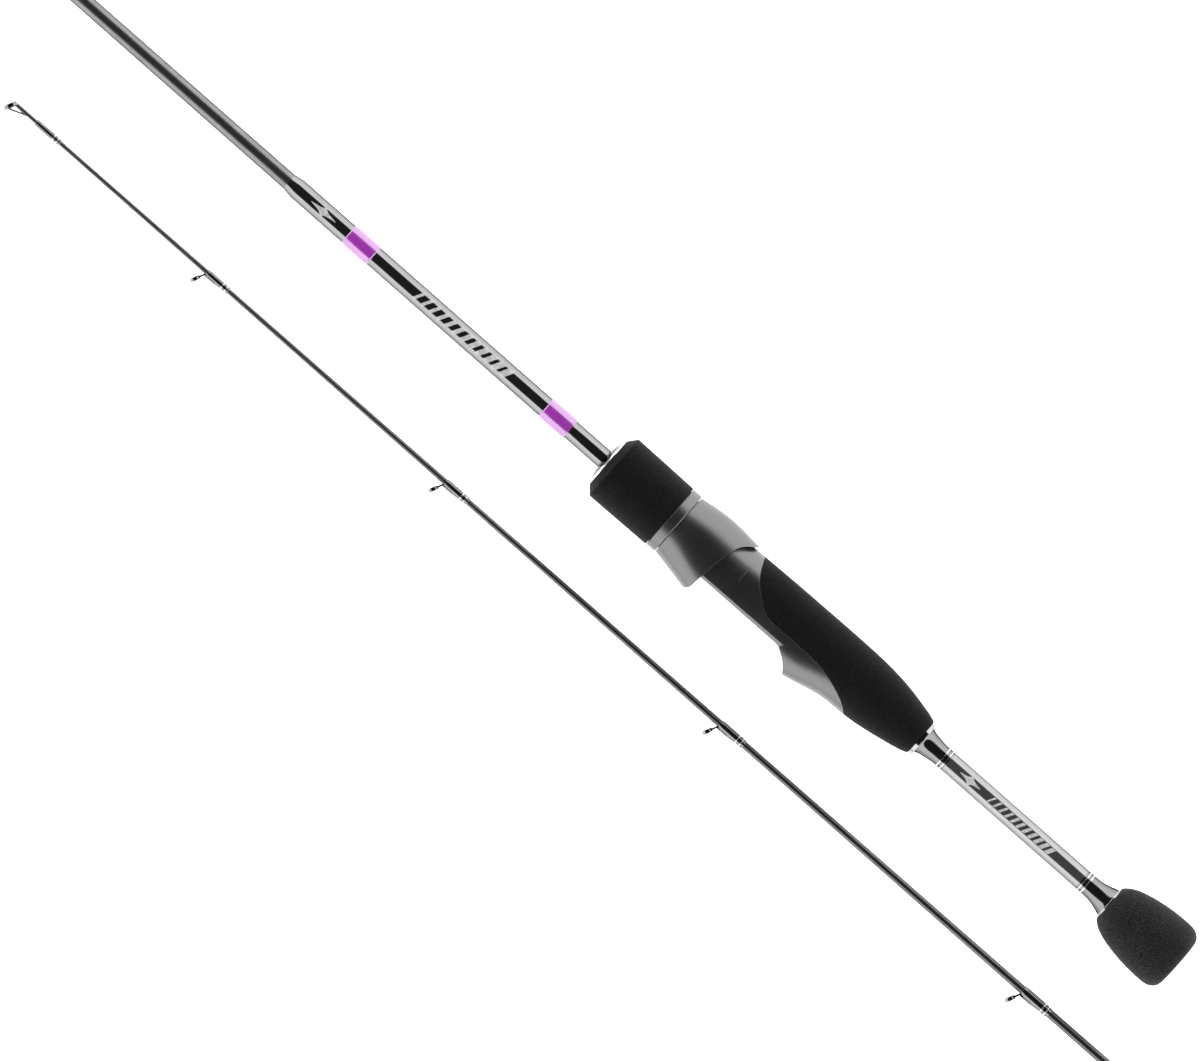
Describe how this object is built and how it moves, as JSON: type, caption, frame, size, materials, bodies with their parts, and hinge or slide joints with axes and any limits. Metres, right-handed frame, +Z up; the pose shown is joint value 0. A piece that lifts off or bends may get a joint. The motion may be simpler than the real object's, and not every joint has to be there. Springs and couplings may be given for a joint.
{
  "type": "spinning rod",
  "caption": "Two-piece spinning fishing rod taken apart: handle section with screw-down reel seat and foam grips, and tip section with single-foot guides.",
  "frame": {"origin": "centre of the butt knob's flat end face, on the butt section's long axis", "axes": "+X along the butt section towards its ferrule, +Y the side that carries the reel and the guides, +Z up from the floor on which both sections lie"},
  "size_m": [1.3725, 0.0722, 0.0268],
  "materials": {
    "blank": "satin",
    "foam": "matte",
    "seat": "satin",
    "hood": "satin",
    "trim_metal": "polished",
    "silver_band": "polished",
    "black_wrap": "gloss",
    "purple_wrap": "gloss",
    "guide_metal": "polished",
    "ring_ceramic": "polished",
    "arbor": "matte"
  },
  "bodies": {
    "butt_section": {"butt_blank": "blank", "butt_knob": "foam", "knob_trim_ring": "trim_metal", "knob_flare_wrap": "black_wrap", "knob_bands": "silver_band", "grip_bands": "silver_band", "grip_flare_wrap": "black_wrap", "grip_trim_ring": "trim_metal", "rear_grip": "foam", "reel_seat_body": "seat", "rear_arbor": "arbor", "front_arbor": "arbor", "overwrap_coat": "black_wrap", "purple_wrap_rear": "purple_wrap", "purple_wrap_front": "purple_wrap", "stripper_frame": "guide_metal", "stripper_ring": "ring_ceramic", "stripper_wraps": "black_wrap", "stripper_bands": "silver_band", "ferrule_stop_wrap": "black_wrap", "ferrule_stop_bands": "silver_band"},
    "hood": {"movable_hood": "hood"},
    "foregrip_nut": {"nut_sleeve": "hood", "foregrip": "foam", "foregrip_check": "trim_metal"},
    "tip_section": {"tip_blank": "blank", "socket_wrap": "black_wrap", "socket_bands": "silver_band", "tip_top_frame": "guide_metal", "tip_top_ring": "ring_ceramic", "tip_top_wrap": "black_wrap", "tip_top_bands": "silver_band", "guide_1_frame": "guide_metal", "guide_1_ring": "ring_ceramic", "guide_1_wrap": "black_wrap", "guide_1_bands": "silver_band", "guide_2_frame": "guide_metal", "guide_2_ring": "ring_ceramic", "guide_2_wrap": "black_wrap", "guide_2_bands": "silver_band", "guide_3_frame": "guide_metal", "guide_3_ring": "ring_ceramic", "guide_3_wrap": "black_wrap", "guide_3_bands": "silver_band", "guide_4_frame": "guide_metal", "guide_4_ring": "ring_ceramic", "guide_4_wrap": "black_wrap", "guide_4_bands": "silver_band", "guide_5_frame": "guide_metal", "guide_5_ring": "ring_ceramic", "guide_5_wrap": "black_wrap", "guide_5_bands": "silver_band", "guide_6_frame": "guide_metal", "guide_6_ring": "ring_ceramic", "guide_6_wrap": "black_wrap", "guide_6_bands": "silver_band"}
  },
  "joints": [
    {"name": "hood_slide", "type": "slide", "parent": "butt_section", "child": "hood", "axis": [1, 0, 0], "range_m": [-0.00252, 0.01252]},
    {"name": "nut_turn", "type": "hinge", "parent": "hood", "child": "foregrip_nut", "pos_m": [0.25, 0, 0], "axis": [1, 0, 0], "range_deg": [-360, 1800]},
    {"name": "tip_section_lift", "type": "slide", "parent": "butt_section", "child": "tip_section", "axis": [0, 0, 1], "range_m": [0, 0.12]}
  ],
  "couplings": [
    {"joint": "hood_slide", "follows": "nut_turn", "m_per_rad": 0.00039789}
  ]
}
